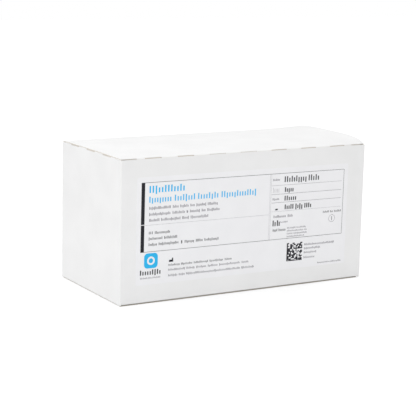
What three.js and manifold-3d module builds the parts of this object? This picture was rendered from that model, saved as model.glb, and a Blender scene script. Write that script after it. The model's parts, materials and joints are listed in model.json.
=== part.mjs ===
// A tuck-lid folding carton holding four stacks of single-wrapped swabs.
// Millimetres, +Z up. The origin is on the floor, under the middle of the carton.
// +X runs along the carton, and the labelled front faces -Y.
import * as THREE from 'three';
import { mergeVertices } from 'three/addons/utils/BufferGeometryUtils.js';
import Module from 'manifold-3d';

const wasm = await Module();
wasm.setup();

// ---------------------------------------------------------------- driving sizes

// The closed carton, over its outer faces.
const CARTON_LENGTH = 201.9;
const CARTON_DEPTH = 94.7;
const CARTON_HEIGHT = 101.6;
const BOARD = 0.5;                  // thickness of the folding board
const FOLD_RADIUS = 0.9;            // outer radius of every fold
const FOLD_LEG = 3;                 // how far each folded flap's root runs along its wall
const CORNER_NOTCH = 1.2;           // the top and bottom folds stop this short of the corners

// Cut-crease rule: short cuts through the board along a fold, with whole board between.
const CUT_LENGTH = 12.7;
const CUT_PITCH = 25.4;
const CUT_WIDTH = 0.8;
const CUT_END_MARGIN = 11;          // whole fold kept at each end of a row of cuts

// The lid: a bowed panel, hinged at the back, with a flap that tucks in at the front.
const LID_END_INSET = 0.4;
const LID_REST_GAP = 0.1;           // between the lid and the flaps and rim under it
const HINGE_SPLIT = 45;             // where round the back fold the lid's half starts, in degrees,
const HINGE_GAP_ANGLE = 20;         // past this gap, so that the lid swings clear
const CROWN_LEFT = 0.5;             // height of the bow at the left end,
const CROWN_MIDDLE = 2;             // along the middle
const CROWN_RIGHT = 4.5;            // and at the right end
const CROWN_LEFT_RUN = 40;
const CROWN_RIGHT_RUN = 60;
const BOW_BLUNTNESS = 4;            // the bow across the lid is (1 - s^4)^0.7, with s from -1 to 1
const BOW_ROUNDNESS = 0.7;
const TUCK_DEPTH = 16;
const TUCK_CLEARANCE = 0.2;         // between the tuck and the front wall
const TUCK_LEAN = 7;                // degrees, so that it swings out past the wall
const TUCK_END_INSET = 3.6;
const TUCK_CORNER = 10;
const TUCK_JOIN = 135;              // where round its fold the tuck joins the panel, in degrees,
const TUCK_JOIN_LAP = 5;            // and how far the two run into each other
const LOCK_SLIT_LENGTH = 11.6;      // slit from each end of the lid's front fold

// Dust flaps, folded in from the ends under the lid.
const DUST_FLAP_LENGTH = 48;
const DUST_FLAP_TIP_INSET = 14.35;  // from its free edge's corners to the carton's sides
const DUST_FLAP_SHOULDER = 1.4;     // depth of the full-width root
const DUST_FLAP_STEP = 3;           // where the narrower part starts
const DUST_FLAP_KNEE = 29;          // where its sides turn in towards the free edge
const DUST_FLAP_DRAFT = 2;          // how far each side leans in up to the knee
const DUST_FLAP_FRONT_GAP = 2.3;    // clear of the swinging tuck
const DUST_FLAP_BACK_GAP = 1.3;
const DUST_FLAP_RISE_LEFT = 0.5;    // degrees that each flap springs up
const DUST_FLAP_RISE_RIGHT = 1.5;

// The glued bottom: end flaps, then the front's flap, then the back's flap outside.
const BOTTOM_END_FLAP = 44;
const BOTTOM_INNER_GAP = 12;        // from the inner flap's free edge to the back
const BOTTOM_OUTER_GAP = 0.9;       // from the outer flap's free edge to the front

// The glued side seam, behind the back wall's right end.
const GLUE_FLAP_WIDTH = 17;
const GLUE_FLAP_END = 9;            // from the flap's ends to the carton's
const GLUE_FLAP_SKEW = 5;
const SEAM_INSET = 1.5;             // from the seam to the right wall's outer face
const SEAM_GAP = 0.3;

// The label on the front wall.
const LABEL_MARGIN_LEFT = 12.2;
const LABEL_MARGIN_RIGHT = 14.8;
const LABEL_MARGIN_TOP = 13.3;
const LABEL_MARGIN_BOTTOM = 13.3;
const LABEL_THICKNESS = 0.1;
const LABEL_CORNER = 1.5;
const LABEL_TURN = 0.22;            // degrees clockwise, put on a little crooked

// The wrapped swabs, in stacks side by side along the carton.
const STACK_COUNT = 4;
const STACK_END_GAP = 5.5;
const STACK_SIDE_GAP = 0.4;
const STACK_HEADROOM = 9;           // from the top wrapper to the dust flaps
const STACK_CORNER = 2;

// Smoothness, and how far the cutting shapes reach past what they cut.
const STEPS_PER_MM = 1024;
const OVERSHOOT = 1;
const FOLD_STEPS = 3;
const LID_STATIONS = 28;
const LID_BOW_STEPS = 20;

// ---------------------------------------------------------------- worked-out places

const halfLength = CARTON_LENGTH / 2;
const halfDepth = CARTON_DEPTH / 2;
const rimHeight = CARTON_HEIGHT - BOARD - LID_REST_GAP;
const tuckFace = -halfDepth + BOARD + TUCK_CLEARANCE;
const foldCentre = new THREE.Vector2(halfDepth - FOLD_RADIUS, CARTON_HEIGHT - FOLD_RADIUS);
const tuckFoldCentre = new THREE.Vector2(tuckFace + FOLD_RADIUS, CARTON_HEIGHT - FOLD_RADIUS);
const floorTop = 3 * BOARD;
const tubeFoot = 2 * BOARD + FOLD_RADIUS;
const tubeTop = rimHeight - FOLD_RADIUS;
const lidHalfLength = halfLength - LID_END_INSET;

const degrees = THREE.MathUtils.degToRad;

// ---------------------------------------------------------------- making solids

// Points are rounded to a fine binary fraction, so that faces meant to be flush are exactly flush.
function toSolid(geometry) {
  const bare = geometry.index ? geometry.toNonIndexed() : geometry.clone();
  bare.deleteAttribute('normal');
  bare.deleteAttribute('uv');
  const places = bare.attributes.position.array;
  places.forEach((place, i) => {
    places[i] = Math.round(place * STEPS_PER_MM) / STEPS_PER_MM;
  });
  const merged = mergeVertices(bare, 0.5 / STEPS_PER_MM);
  return new wasm.Manifold(new wasm.Mesh({
    numProp: 3,
    vertProperties: new Float32Array(merged.attributes.position.array),
    triVerts: new Uint32Array(merged.index.array),
  }));
}

function toGeometry(solid) {
  const mesh = solid.getMesh();
  const geometry = new THREE.BufferGeometry();
  geometry.setAttribute('position', new THREE.BufferAttribute(mesh.vertProperties, 3));
  geometry.setIndex(new THREE.BufferAttribute(mesh.triVerts, 1));
  geometry.computeVertexNormals();
  return geometry;
}

const joined = (solids) => solids.reduce((sum, solid) => sum.add(solid));
const cutBy = (solid, cutters) => cutters.reduce((rest, cutter) => rest.subtract(cutter), solid);

// Extrudes an outline. Its two coordinates are the two axes other than the extrusion's,
// in the order X, Y, Z.
function extrude(outline, axis, from, to) {
  const geometry = new THREE.ExtrudeGeometry(new THREE.Shape(outline), {
    depth: to - from,
    bevelEnabled: false,
  });
  const place = new THREE.Matrix4();
  if (axis === 'x') {
    place.makeBasis(new THREE.Vector3(0, 1, 0), new THREE.Vector3(0, 0, 1), new THREE.Vector3(1, 0, 0));
    place.setPosition(from, 0, 0);
  } else if (axis === 'y') {
    place.makeBasis(new THREE.Vector3(1, 0, 0), new THREE.Vector3(0, 0, 1), new THREE.Vector3(0, -1, 0));
    place.setPosition(0, to, 0);
  } else {
    place.setPosition(0, 0, from);
  }
  return toSolid(geometry.applyMatrix4(place));
}

// A path through corners, with a fold of the outer radius at each turn to the left.
function foldedPath(corners) {
  const path = new THREE.Path();
  path.moveTo(corners[0].x, corners[0].y);
  for (let i = 1; i < corners.length - 1; i += 1) {
    const before = corners[i].clone().sub(corners[i - 1]).normalize();
    const after = corners[i + 1].clone().sub(corners[i]).normalize();
    const turn = Math.atan2(before.cross(after), before.dot(after));
    const start = corners[i].clone().addScaledVector(before, -FOLD_RADIUS * Math.tan(turn / 2));
    const outward = new THREE.Vector2(before.y, -before.x);
    const centre = start.clone().addScaledVector(outward, -FOLD_RADIUS);
    path.lineTo(start.x, start.y);
    path.absarc(centre.x, centre.y, FOLD_RADIUS, outward.angle(), outward.angle() + turn);
  }
  const end = corners.at(-1);
  path.lineTo(end.x, end.y);
  return path;
}

// The section of folded board whose outer face is the path, with its inside on the left.
function boardSection(path) {
  const outer = path.getPoints(FOLD_STEPS).filter((point, i, all) => (
    i === 0 || point.distanceTo(all[i - 1]) > 1 / STEPS_PER_MM));
  const inner = outer.map((point, i) => {
    const before = outer[Math.max(i - 1, 0)];
    const after = outer[Math.min(i + 1, outer.length - 1)];
    const ahead = i < outer.length - 1 ? after.clone().sub(point).normalize() : null;
    const behind = i > 0 ? point.clone().sub(before).normalize() : null;
    const run = (ahead ?? behind).clone().add(behind ?? ahead).normalize();
    const spread = BOARD / (ahead && behind ? run.dot(ahead) : 1);
    return new THREE.Vector2(point.x - run.y * spread, point.y + run.x * spread);
  });
  return [...outer, ...inner.reverse()];
}

const mirrored = (outline) => outline.map((point) => new THREE.Vector2(-point.x, point.y));
const rightAngles = { right: 0, up: Math.PI / 2, left: Math.PI, down: 1.5 * Math.PI };

function roundedRectangle(width, height, radius) {
  const x = width / 2;
  const y = height / 2;
  const path = new THREE.Path();
  path.absarc(x - radius, y - radius, radius, 0, rightAngles.up);
  path.absarc(radius - x, y - radius, radius, rightAngles.up, rightAngles.left);
  path.absarc(radius - x, radius - y, radius, rightAngles.left, rightAngles.down);
  path.absarc(x - radius, radius - y, radius, rightAngles.down, 2 * Math.PI);
  return path.getPoints(FOLD_STEPS);
}

// Middles of the cuts along a fold of the given length.
function cutMiddles(foldLength, endKept) {
  const room = foldLength - 2 * endKept + CUT_PITCH - CUT_LENGTH;
  const count = Math.max(Math.floor(room / CUT_PITCH), 1);
  return Array.from({ length: count }, (_, i) => (i - (count - 1) / 2) * CUT_PITCH);
}

// A blade along X or Y, at 45 degrees through a fold that faces the given way and up.
function foldBlade(length, axis, middle, facing) {
  const blade = new THREE.BoxGeometry(
    axis === 'x' ? length : CUT_WIDTH,
    axis === 'x' ? CUT_WIDTH : length,
    4 * FOLD_RADIUS,
  );
  if (axis === 'x') blade.rotateX(-facing * Math.PI / 4);
  else blade.rotateY(facing * Math.PI / 4);
  return toSolid(blade.translate(middle.x, middle.y, middle.z));
}

// ---------------------------------------------------------------- carton body

// The four walls between the folds at the top and the bottom.
function wallTube() {
  const ring = new THREE.Shape(roundedRectangle(CARTON_LENGTH, CARTON_DEPTH, FOLD_RADIUS));
  ring.holes.push(new THREE.Path(roundedRectangle(
    CARTON_LENGTH - 2 * BOARD, CARTON_DEPTH - 2 * BOARD, FOLD_RADIUS - BOARD)));
  const geometry = new THREE.ExtrudeGeometry(ring, { depth: tubeTop - tubeFoot, bevelEnabled: false });
  return toSolid(geometry.translate(0, 0, tubeFoot));
}

// A top dust flap and its fold. In plan it narrows at a shoulder, then tapers to its free edge.
function dustFlap(side, flapRise) {
  const rise = degrees(flapRise);
  const section = boardSection(foldedPath([
    new THREE.Vector2(
      DUST_FLAP_LENGTH * Math.cos(rise) - halfLength, rimHeight + DUST_FLAP_LENGTH * Math.sin(rise)),
    new THREE.Vector2(-halfLength, rimHeight),
    new THREE.Vector2(-halfLength, tubeTop - FOLD_LEG),
  ]));
  const strip = extrude(
    side < 0 ? section : mirrored(section), 'y', CORNER_NOTCH - halfDepth, halfDepth - CORNER_NOTCH);
  const front = -halfDepth + BOARD + DUST_FLAP_FRONT_GAP;
  const back = halfDepth - 2 * BOARD - DUST_FLAP_BACK_GAP;
  const plan = [
    [-OVERSHOOT, -halfDepth], [DUST_FLAP_SHOULDER, -halfDepth],
    [DUST_FLAP_SHOULDER, CORNER_NOTCH - halfDepth],
    [DUST_FLAP_STEP, front], [DUST_FLAP_KNEE, front + DUST_FLAP_DRAFT],
    [DUST_FLAP_LENGTH + OVERSHOOT, DUST_FLAP_TIP_INSET - halfDepth],
    [DUST_FLAP_LENGTH + OVERSHOOT, halfDepth - DUST_FLAP_TIP_INSET],
    [DUST_FLAP_KNEE, back - DUST_FLAP_DRAFT], [DUST_FLAP_STEP, back],
    [DUST_FLAP_SHOULDER, halfDepth - CORNER_NOTCH], [DUST_FLAP_SHOULDER, halfDepth],
    [-OVERSHOOT, halfDepth],
  ].map(([inward, y]) => new THREE.Vector2(side * (halfLength - inward), y));
  return strip.intersect(extrude(plan, 'z', CARTON_HEIGHT / 2, CARTON_HEIGHT + CROWN_RIGHT));
}

// An end's bottom flap, the innermost layer of the floor.
function bottomEndFlap(side) {
  const section = boardSection(foldedPath([
    new THREE.Vector2(-halfLength, tubeFoot + FOLD_LEG),
    new THREE.Vector2(-halfLength, 2 * BOARD),
    new THREE.Vector2(BOTTOM_END_FLAP - halfLength, 2 * BOARD),
  ]));
  return extrude(
    side < 0 ? section : mirrored(section), 'y', CORNER_NOTCH - halfDepth, halfDepth - CORNER_NOTCH);
}

// The front wall ends in a raw edge at the top.
function frontRim() {
  return extrude([
    new THREE.Vector2(-halfDepth, tubeTop - FOLD_LEG),
    new THREE.Vector2(BOARD - halfDepth, tubeTop - FOLD_LEG),
    new THREE.Vector2(BOARD - halfDepth, rimHeight),
    new THREE.Vector2(-halfDepth, rimHeight),
  ], 'x', CORNER_NOTCH - halfLength, halfLength - CORNER_NOTCH);
}

// The front's bottom flap, the floor's middle layer.
function bottomInnerFlap() {
  const section = boardSection(foldedPath([
    new THREE.Vector2(-halfDepth, tubeFoot + FOLD_LEG),
    new THREE.Vector2(-halfDepth, BOARD),
    new THREE.Vector2(halfDepth - BOTTOM_INNER_GAP, BOARD),
  ]));
  return extrude(section, 'x', CORNER_NOTCH - halfLength, halfLength - CORNER_NOTCH);
}

// The back's bottom flap, the floor's outer layer.
function bottomOuterFlap() {
  const section = boardSection(foldedPath([
    new THREE.Vector2(-halfDepth, tubeFoot + FOLD_LEG),
    new THREE.Vector2(-halfDepth, 0),
    new THREE.Vector2(halfDepth - BOTTOM_OUTER_GAP, 0),
  ]));
  return extrude(mirrored(section), 'x', CORNER_NOTCH - halfLength, halfLength - CORNER_NOTCH);
}

// The back wall's half of the fold that the lid hinges on.
function hingeRim() {
  const path = new THREE.Path();
  path.absarc(-foldCentre.x, foldCentre.y, FOLD_RADIUS, degrees(180 - HINGE_SPLIT), rightAngles.left);
  path.lineTo(-halfDepth, tubeTop - FOLD_LEG);
  return extrude(
    mirrored(boardSection(path)), 'x', CORNER_NOTCH - halfLength, halfLength - CORNER_NOTCH);
}

// The right wall's glue flap, stuck to the inside of the back wall.
function glueFlap() {
  const outer = halfLength - CORNER_NOTCH;
  const inner = outer - GLUE_FLAP_WIDTH;
  const low = GLUE_FLAP_END;
  const high = CARTON_HEIGHT - GLUE_FLAP_END;
  const outline = [
    [outer, low], [outer, high], [inner, high - GLUE_FLAP_SKEW], [inner, low + GLUE_FLAP_SKEW],
  ].map(([x, z]) => new THREE.Vector2(x, z));
  return extrude(outline, 'y', halfDepth - 2 * BOARD, halfDepth - BOARD / 2);
}

// The seam is the narrow gap between the back wall's raw edge and the corner.
function seamCut() {
  const right = halfLength - SEAM_INSET;
  const left = right - SEAM_GAP;
  const outline = [
    [left, halfDepth - BOARD], [right, halfDepth - BOARD],
    [right, halfDepth + OVERSHOOT], [left, halfDepth + OVERSHOOT],
  ].map(([x, y]) => new THREE.Vector2(x, y));
  return extrude(outline, 'z', tubeFoot, tubeTop);
}

function endCuts(side) {
  return cutMiddles(CARTON_DEPTH, CUT_END_MARGIN).map((y) => foldBlade(
    CUT_LENGTH, 'y', new THREE.Vector3(side * (halfLength - FOLD_RADIUS), y, tubeTop), side));
}

function cartonBody() {
  const folded = joined([
    wallTube(),
    dustFlap(-1, DUST_FLAP_RISE_LEFT),
    dustFlap(1, DUST_FLAP_RISE_RIGHT),
    frontRim(),
    hingeRim(),
    bottomEndFlap(-1),
    bottomEndFlap(1),
    bottomInnerFlap(),
    bottomOuterFlap(),
    glueFlap(),
  ]);
  return toGeometry(cutBy(folded, [...endCuts(-1), ...endCuts(1), seamCut()]));
}

// ---------------------------------------------------------------- lid

// Height of the bow along the middle of the lid: lowest at the left end, highest at the right.
function crownAt(x) {
  const fade = (run) => Math.max(1 - run, 0) ** 2;
  const fromLeft = (x + lidHalfLength) / CROWN_LEFT_RUN;
  const fromRight = (lidHalfLength - x) / CROWN_RIGHT_RUN;
  return CROWN_MIDDLE
    + (CROWN_LEFT - CROWN_MIDDLE) * fade(fromLeft)
    + (CROWN_RIGHT - CROWN_MIDDLE) * fade(fromRight);
}

// Across the lid the bow is a blunt arch, held down at the tuck fold and at the hinge.
function bowAt(x, y) {
  const middle = (foldCentre.x + tuckFoldCentre.x) / 2;
  const half = (foldCentre.x - tuckFoldCentre.x) / 2;
  const across = Math.min(Math.abs(y - middle) / half, 1);
  return crownAt(x) * (1 - across ** BOW_BLUNTNESS) ** BOW_ROUNDNESS;
}

// A closed solid through sections across X, each a ring of [y, z] points.
function loftAlongX(stations, ringAt) {
  const rings = stations.map(ringAt);
  const size = rings[0].length;
  const positions = rings.flatMap((ring, i) => ring.flatMap(([y, z]) => [stations[i], y, z]));
  const faces = [];
  for (let i = 0; i < stations.length - 1; i += 1) {
    for (let j = 0; j < size; j += 1) {
      const next = (j + 1) % size;
      const [a, b, c, d] = [i * size + j, i * size + next, (i + 1) * size + next, (i + 1) * size + j];
      faces.push(a, b, c, a, c, d);
    }
  }
  const cap = (ring, first, flip) => {
    const outline = ring.map(([y, z]) => new THREE.Vector2(y, z));
    for (const [a, b, c] of THREE.ShapeUtils.triangulateShape(outline, [])) {
      faces.push(first + a, first + (flip ? c : b), first + (flip ? b : c));
    }
  };
  cap(rings[0], 0, true);
  cap(rings.at(-1), (stations.length - 1) * size, false);
  const geometry = new THREE.BufferGeometry();
  geometry.setAttribute('position', new THREE.Float32BufferAttribute(positions, 3));
  geometry.setIndex(faces);
  return toSolid(geometry);
}

function arcPoints(centre, radius, from, to) {
  const steps = 2 * FOLD_STEPS;
  return Array.from({ length: steps + 1 }, (_, i) => {
    const angle = degrees(from + (to - from) * i / steps);
    return [centre.x + radius * Math.cos(angle), centre.y + radius * Math.sin(angle)];
  });
}

// The panel, from its half of the back fold to its half of the tuck fold.
function lidPanel() {
  const hingeStart = HINGE_SPLIT + HINGE_GAP_ANGLE;
  const bowRows = Array.from({ length: LID_BOW_STEPS - 1 }, (_, i) => {
    const turn = Math.PI * (i + 1) / LID_BOW_STEPS;
    const half = (foldCentre.x - tuckFoldCentre.x) / 2;
    return tuckFoldCentre.x + half + half * Math.cos(turn);
  });
  const ringAt = (x) => {
    const top = bowRows.map((y) => [y, CARTON_HEIGHT + bowAt(x, y)]);
    const under = top.map(([y, z]) => [y, z - BOARD]).reverse();
    return [
      ...arcPoints(foldCentre, FOLD_RADIUS, hingeStart, 90),
      ...top,
      ...arcPoints(tuckFoldCentre, FOLD_RADIUS, 90, TUCK_JOIN),
      ...arcPoints(tuckFoldCentre, FOLD_RADIUS - BOARD, TUCK_JOIN, 90),
      ...under,
      ...arcPoints(foldCentre, FOLD_RADIUS - BOARD, 90, hingeStart),
    ];
  };
  const stations = Array.from({ length: LID_STATIONS + 1 }, (_, i) => (
    -lidHalfLength * Math.cos(Math.PI * i / LID_STATIONS)));
  return loftAlongX(stations, ringAt);
}

// The flap that tucks in behind the front wall, with its lower corners rounded.
function tuckFlap() {
  const lean = degrees(TUCK_LEAN);
  const path = new THREE.Path();
  path.absarc(
    tuckFoldCentre.x, tuckFoldCentre.y, FOLD_RADIUS,
    degrees(TUCK_JOIN - TUCK_JOIN_LAP), rightAngles.left + lean);
  const run = new THREE.Vector2(Math.sin(lean), -Math.cos(lean)).multiplyScalar(TUCK_DEPTH);
  path.lineTo(path.currentPoint.x + run.x, path.currentPoint.y + run.y);
  const tuckHalf = halfLength - TUCK_END_INSET;
  const strip = extrude(boardSection(path), 'x', -tuckHalf, tuckHalf);

  const low = path.currentPoint.y - BOARD;
  const outline = new THREE.Path();
  outline.moveTo(tuckHalf, CARTON_HEIGHT + OVERSHOOT);
  outline.lineTo(-tuckHalf, CARTON_HEIGHT + OVERSHOOT);
  outline.absarc(TUCK_CORNER - tuckHalf, low + TUCK_CORNER, TUCK_CORNER, rightAngles.left, rightAngles.down);
  outline.absarc(tuckHalf - TUCK_CORNER, low + TUCK_CORNER, TUCK_CORNER, rightAngles.down, 2 * Math.PI);
  const ears = extrude(outline.getPoints(2 * FOLD_STEPS), 'y', -halfDepth, TUCK_DEPTH - halfDepth);
  return strip.intersect(ears);
}

// A row of cuts along the tuck fold, and a lock slit in from each end.
function tuckFoldCuts() {
  const at = (x) => new THREE.Vector3(x, tuckFoldCentre.x, tuckFoldCentre.y);
  const cuts = cutMiddles(CARTON_LENGTH, LOCK_SLIT_LENGTH + CUT_LENGTH / 2)
    .map((x) => foldBlade(CUT_LENGTH, 'x', at(x), -1));
  const slits = [-1, 1].map((side) => (
    foldBlade(2 * LOCK_SLIT_LENGTH, 'x', at(side * lidHalfLength), -1)));
  return [...cuts, ...slits];
}

function lid() {
  return toGeometry(cutBy(lidPanel().add(tuckFlap()), tuckFoldCuts()));
}

// ---------------------------------------------------------------- label and contents

function frontLabel() {
  const width = CARTON_LENGTH - LABEL_MARGIN_LEFT - LABEL_MARGIN_RIGHT;
  const height = CARTON_HEIGHT - LABEL_MARGIN_TOP - LABEL_MARGIN_BOTTOM;
  const geometry = new THREE.ExtrudeGeometry(new THREE.Shape(roundedRectangle(width, height, LABEL_CORNER)), {
    depth: LABEL_THICKNESS,
    bevelEnabled: false,
  });
  geometry.rotateX(Math.PI / 2).rotateY(degrees(LABEL_TURN));
  geometry.translate(
    (LABEL_MARGIN_LEFT - LABEL_MARGIN_RIGHT) / 2,
    -halfDepth,
    (CARTON_HEIGHT + LABEL_MARGIN_BOTTOM - LABEL_MARGIN_TOP) / 2,
  );
  return toGeometry(toSolid(geometry));
}

// Each stack fills its share of the depth between the tuck's path and the glue flap.
function swabStacks() {
  const tuckReach = TUCK_CLEARANCE + TUCK_DEPTH * Math.sin(degrees(TUCK_LEAN)) + BOARD;
  const front = -halfDepth + BOARD + tuckReach + STACK_SIDE_GAP;
  const back = halfDepth - 2 * BOARD - STACK_SIDE_GAP;
  const pitch = (back - front + STACK_SIDE_GAP) / STACK_COUNT;
  const length = CARTON_LENGTH - 2 * BOARD - 2 * STACK_END_GAP;
  const height = rimHeight - BOARD - STACK_HEADROOM - floorTop;
  const outline = roundedRectangle(length, pitch - STACK_SIDE_GAP, STACK_CORNER);
  return Array.from({ length: STACK_COUNT }, (_, i) => {
    const middle = front + (i + 0.5) * pitch - STACK_SIDE_GAP / 2;
    const placed = outline.map((point) => new THREE.Vector2(point.x, point.y + middle));
    return toGeometry(extrude(placed, 'z', floorTop, floorTop + height));
  });
}

// ---------------------------------------------------------------- the object

const coatedBoard = () => new THREE.MeshStandardMaterial({ color: 0xf4f4f2, roughness: 0.55, metalness: 0 });
const labelPaper = () => new THREE.MeshStandardMaterial({ color: 0xf3f3f6, roughness: 0.5, metalness: 0 });
const wrapperPaper = () => new THREE.MeshStandardMaterial({ color: 0xeceae4, roughness: 0.6, metalness: 0 });

function named(name, geometry, material) {
  const mesh = new THREE.Mesh(geometry, material);
  mesh.name = name;
  return mesh;
}

const carton = new THREE.Group();
carton.add(named('carton_body', cartonBody(), coatedBoard()));
carton.add(named('lid', lid(), coatedBoard()));
carton.add(named('front_label', frontLabel(), labelPaper()));

const contents = new THREE.Group();
swabStacks().forEach((stack, i) => contents.add(named(`swab_stack_${i + 1}`, stack, wrapperPaper())));
carton.add(contents);

export default carton;
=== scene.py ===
"""A closed tuck-lid folding carton with a printed label, holding a hundred wrapped swabs."""

import json
import math
import random

import bmesh
import bpy
from mathutils import Matrix, Vector


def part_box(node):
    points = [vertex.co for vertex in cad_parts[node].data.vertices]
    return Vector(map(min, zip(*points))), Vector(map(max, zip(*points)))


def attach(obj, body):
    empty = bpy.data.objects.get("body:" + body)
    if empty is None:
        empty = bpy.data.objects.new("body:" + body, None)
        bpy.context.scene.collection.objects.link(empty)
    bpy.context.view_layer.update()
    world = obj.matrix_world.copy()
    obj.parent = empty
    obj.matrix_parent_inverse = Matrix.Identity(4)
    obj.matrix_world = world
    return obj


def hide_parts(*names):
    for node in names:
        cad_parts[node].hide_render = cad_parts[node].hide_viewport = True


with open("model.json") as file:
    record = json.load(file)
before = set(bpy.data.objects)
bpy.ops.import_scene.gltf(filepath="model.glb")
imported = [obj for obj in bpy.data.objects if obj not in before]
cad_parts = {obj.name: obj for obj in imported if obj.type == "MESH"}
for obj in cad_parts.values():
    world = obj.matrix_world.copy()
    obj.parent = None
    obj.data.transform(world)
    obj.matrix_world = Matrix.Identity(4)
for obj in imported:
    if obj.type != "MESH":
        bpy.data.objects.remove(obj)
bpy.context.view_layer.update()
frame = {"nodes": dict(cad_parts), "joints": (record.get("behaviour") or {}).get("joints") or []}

bl_info = {
    "name": "Swab carton",
    "version": (1, 0, 0),
    "blender": (4, 5, 0),
    "location": "View3D > Sidebar > Swab carton",
    "description": "Builds a folding carton, its label and the wrapped swabs in it",
    "category": "Add Mesh",
}

MM = 0.001
UP = Vector((0, 0, 1))
FRONTWARDS = Vector((0, -1, 0))
BODY, LID = "carton", "lid"

# ------------------------------------------------------------------ sizes from the frame

body_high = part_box("carton_body")[1]
lid_low, lid_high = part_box("lid")
label_low, label_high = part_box("front_label")
hinge = Vector(frame["joints"][0]["pos_m"])

FOLD_RADIUS = 0.9 * MM
# The back wall keeps this much of the hinge's fold, and the lid has the rest.
HINGE_ANGLE = math.radians(45)
HALF_LENGTH = body_high.x
HALF_DEPTH = body_high.y
FOLD_HEIGHT = hinge.z - FOLD_RADIUS * math.sin(HINGE_ANGLE)
HEIGHT = FOLD_HEIGHT + FOLD_RADIUS
LID_HALF_LENGTH = lid_high.x
LABEL_MIDDLE = (label_low + label_high) / 2


# ------------------------------------------------------------------ what a user would change


def length_setting(name, description, default):
    """A length, in metres."""
    return bpy.props.FloatProperty(name=name, description=description, default=default, unit="LENGTH")


def angle_setting(name, description, degrees):
    """An angle, given here in degrees."""
    turn = math.radians(degrees)
    return bpy.props.FloatProperty(name=name, description=description, default=turn, subtype="ANGLE")


def colour_setting(name, description, default):
    """A colour, in sRGB hex."""
    return bpy.props.StringProperty(name=name, description=f"{description}, sRGB hex", default=default)


class BoardSettings(bpy.types.PropertyGroup):
    """Sizes and colours of the folding board, its folds and its flaps."""

    thickness: length_setting("Thickness", "Thickness of the board", 0.5 * MM)
    rest_gap: length_setting("Rest gap", "From the lid to the rim under it", 0.1 * MM)
    notch: length_setting("Corner notch", "How far a fold stops short of a corner", 1.2 * MM)
    cut_length: length_setting("Cut length", "Length of each cut along a fold", 12.7 * MM)
    cut_pitch: length_setting("Cut pitch", "From one cut to the next", 25.4 * MM)
    cut_spread: angle_setting("Cut spread", "How far round its fold a cut opens to each side", 27)
    dust_flap: length_setting("Dust flap", "Length of each dust flap", 48 * MM)
    rise_left: angle_setting("Left rise", "How far the left dust flap springs up", 0.5)
    rise_right: angle_setting("Right rise", "How far the right dust flap springs up", 1.5)
    end_bow: length_setting("End bow", "How far the end folds bow up in the middle", 0.5 * MM)
    tuck: length_setting("Tuck", "Length of the lid's tuck flap", 16 * MM)
    tuck_lean: angle_setting("Tuck lean", "How far the tuck leans in", 7)
    coating: colour_setting("Coating", "Colour of the coated face", "f4f4f4")
    back: colour_setting("Back", "Colour of the uncoated face", "cdc6ba")
    core: colour_setting("Core", "Colour of a cut edge", "f3f0ea")


class LabelSettings(bpy.types.PropertyGroup):
    """Colours of the label and its print, and how the print lies."""

    paper: colour_setting("Paper", "Colour of the label paper", "f6f6f8")
    black: colour_setting("Black", "Colour of the black ink", "1b1b22")
    blue: colour_setting("Blue", "Colour of the blue ink", "28b9f2")
    grey: colour_setting("Grey", "Colour of the grey ink", "6b6670")
    ink: length_setting("Ink", "How far the ink stands off the paper", 0.02 * MM)
    turn: angle_setting("Turn", "How crooked the print is, clockwise", 0.34)
    seed: bpy.props.IntProperty(name="Seed", description="Seed of the print's pattern", default=4)


class SwabSettings(bpy.types.PropertyGroup):
    """Sizes of the wrapped swabs."""

    per_stack: bpy.props.IntProperty(
        name="Per stack", description="Wrapped swabs in each stack", default=25, min=1
    )
    width: length_setting("Width", "Width of a wrapper", 21.4 * MM)
    length: length_setting("Length", "Length of a wrapper", 187.5 * MM)
    shaft: length_setting("Shaft", "Length of a swab", 150 * MM)
    seed: bpy.props.IntProperty(name="Seed", description="Seed of the stacks' disorder", default=11)


class StageSettings(bpy.types.PropertyGroup):
    """Camera and light."""

    lens: bpy.props.FloatProperty(
        name="Lens", description="Focal length on a 36 mm sensor, in millimetres", default=118.83
    )
    distance: length_setting("Distance", "From the camera to what it aims at", 1.0145)
    azimuth: angle_setting("Azimuth", "Camera's place round the carton", -30.611)
    elevation: angle_setting("Elevation", "Camera's height above the horizon", 10.983)
    roll: angle_setting("Roll", "Tilt of the camera", 1.374)
    aim_right: length_setting("Aim right", "Aim, right of the carton's middle", -4.124 * MM)
    aim_up: length_setting("Aim up", "Aim, above the carton's middle", 1.745 * MM)
    sky: bpy.props.FloatProperty(name="Sky", description="Light from all round", default=0.74)


GROUPS = {
    "swab_carton_board": BoardSettings,
    "swab_carton_label": LabelSettings,
    "swab_carton_swabs": SwabSettings,
    "swab_carton_stage": StageSettings,
}


# ------------------------------------------------------------------ colours, nodes and pieces


def linear(hex_colour):
    """An sRGB hex value as linear red, green, blue and alpha."""
    channels = [int(hex_colour[i : i + 2], 16) / 255 for i in (0, 2, 4)]
    return [c / 12.92 if c <= 0.04045 else ((c + 0.055) / 1.055) ** 2.4 for c in channels] + [1.0]


def add_node(tree, kind, inputs=None, **settings):
    """Adds a node, makes its settings, and links or fills its inputs.

    A node given as an input is linked by its first output in use, and a hex colour is made linear.
    """
    node = tree.nodes.new(kind)
    for name, value in settings.items():
        setattr(node, name, value)
    for name, value in (inputs or {}).items():
        socket = node.inputs[name]
        if isinstance(value, bpy.types.Node):
            value = next(output for output in value.outputs if output.enabled)
        if isinstance(value, bpy.types.NodeSocket):
            tree.links.new(value, socket)
        elif socket.type == "RGBA" and isinstance(value, str):
            socket.default_value = linear(value)
        else:
            socket.default_value = value
    return node


def new_material(name):
    """An empty node material, its tree and the place on the piece that its patterns follow."""
    material = bpy.data.materials.new(name)
    material.use_nodes = True
    tree = material.node_tree
    tree.nodes.clear()
    return material, tree, add_node(tree, "ShaderNodeTexCoord").outputs["Object"]


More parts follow.
